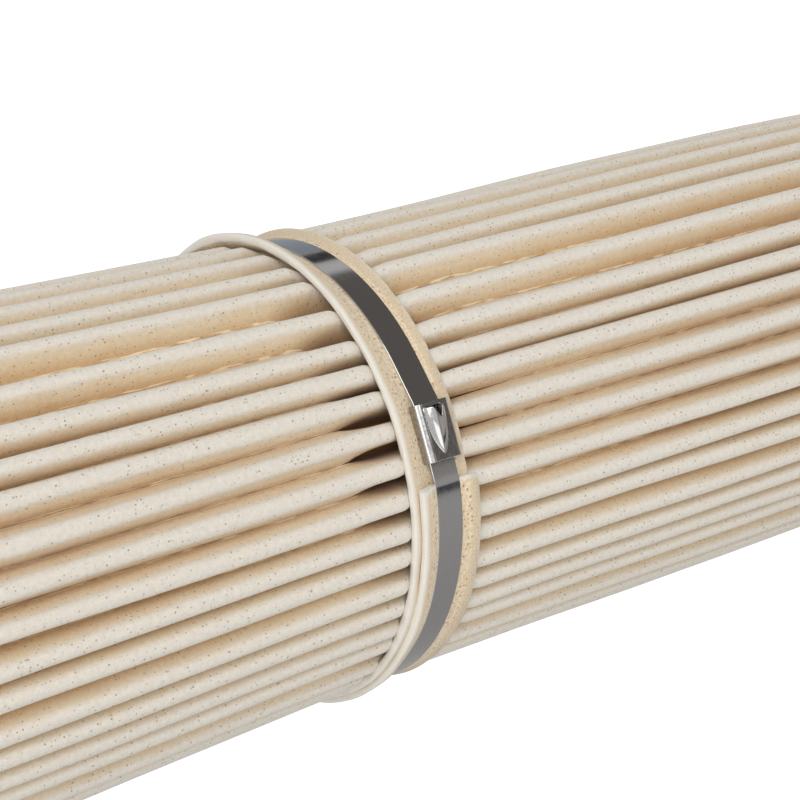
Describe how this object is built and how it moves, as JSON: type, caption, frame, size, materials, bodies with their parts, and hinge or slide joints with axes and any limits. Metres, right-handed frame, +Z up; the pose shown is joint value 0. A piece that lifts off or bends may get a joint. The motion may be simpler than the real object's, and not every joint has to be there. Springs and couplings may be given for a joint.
{
  "type": "dust collector filter cartridge",
  "caption": "Slim upright filter cartridge of deeply pleated off-white needle felt, drawn in by felt strips under polished steel ball-lock ties, with steel end caps.",
  "frame": {"origin": "middle of the underside of the closed end cap, on which the cartridge stands", "axes": "+Z up the cartridge's axis to its open end; the tie heads face -Y"},
  "size_m": [0.134, 0.134, 1.208],
  "materials": {
    "pleat_felt": "needle-punched off-white felt with fine tan specks",
    "strip_felt": "needle felt with a singed, speckled tan face",
    "tie_steel": "polished stainless strip with fine scratches",
    "head_steel": "bright pressed stainless",
    "core_steel": "galvanised slotted tube",
    "cap_steel": "galvanised pressed sheet",
    "potting_resin": "cast resin",
    "gasket_rubber": "closed-cell sponge rubber"
  },
  "bodies": {
    "root": {"pleat_pack": "pleat_felt", "inner_core": "core_steel", "top_cap": "cap_steel", "bottom_cap": "cap_steel", "top_potting": "potting_resin", "bottom_potting": "potting_resin", "top_gasket": "gasket_rubber", "lower_strip": "strip_felt", "lower_tie": "tie_steel", "lower_tie_head": "head_steel", "lower_lock_ball": "head_steel", "middle_strip": "strip_felt", "middle_tie": "tie_steel", "middle_tie_head": "head_steel", "middle_lock_ball": "head_steel", "upper_strip": "strip_felt", "upper_tie": "tie_steel", "upper_tie_head": "head_steel", "upper_lock_ball": "head_steel"}
  },
  "joints": []
}
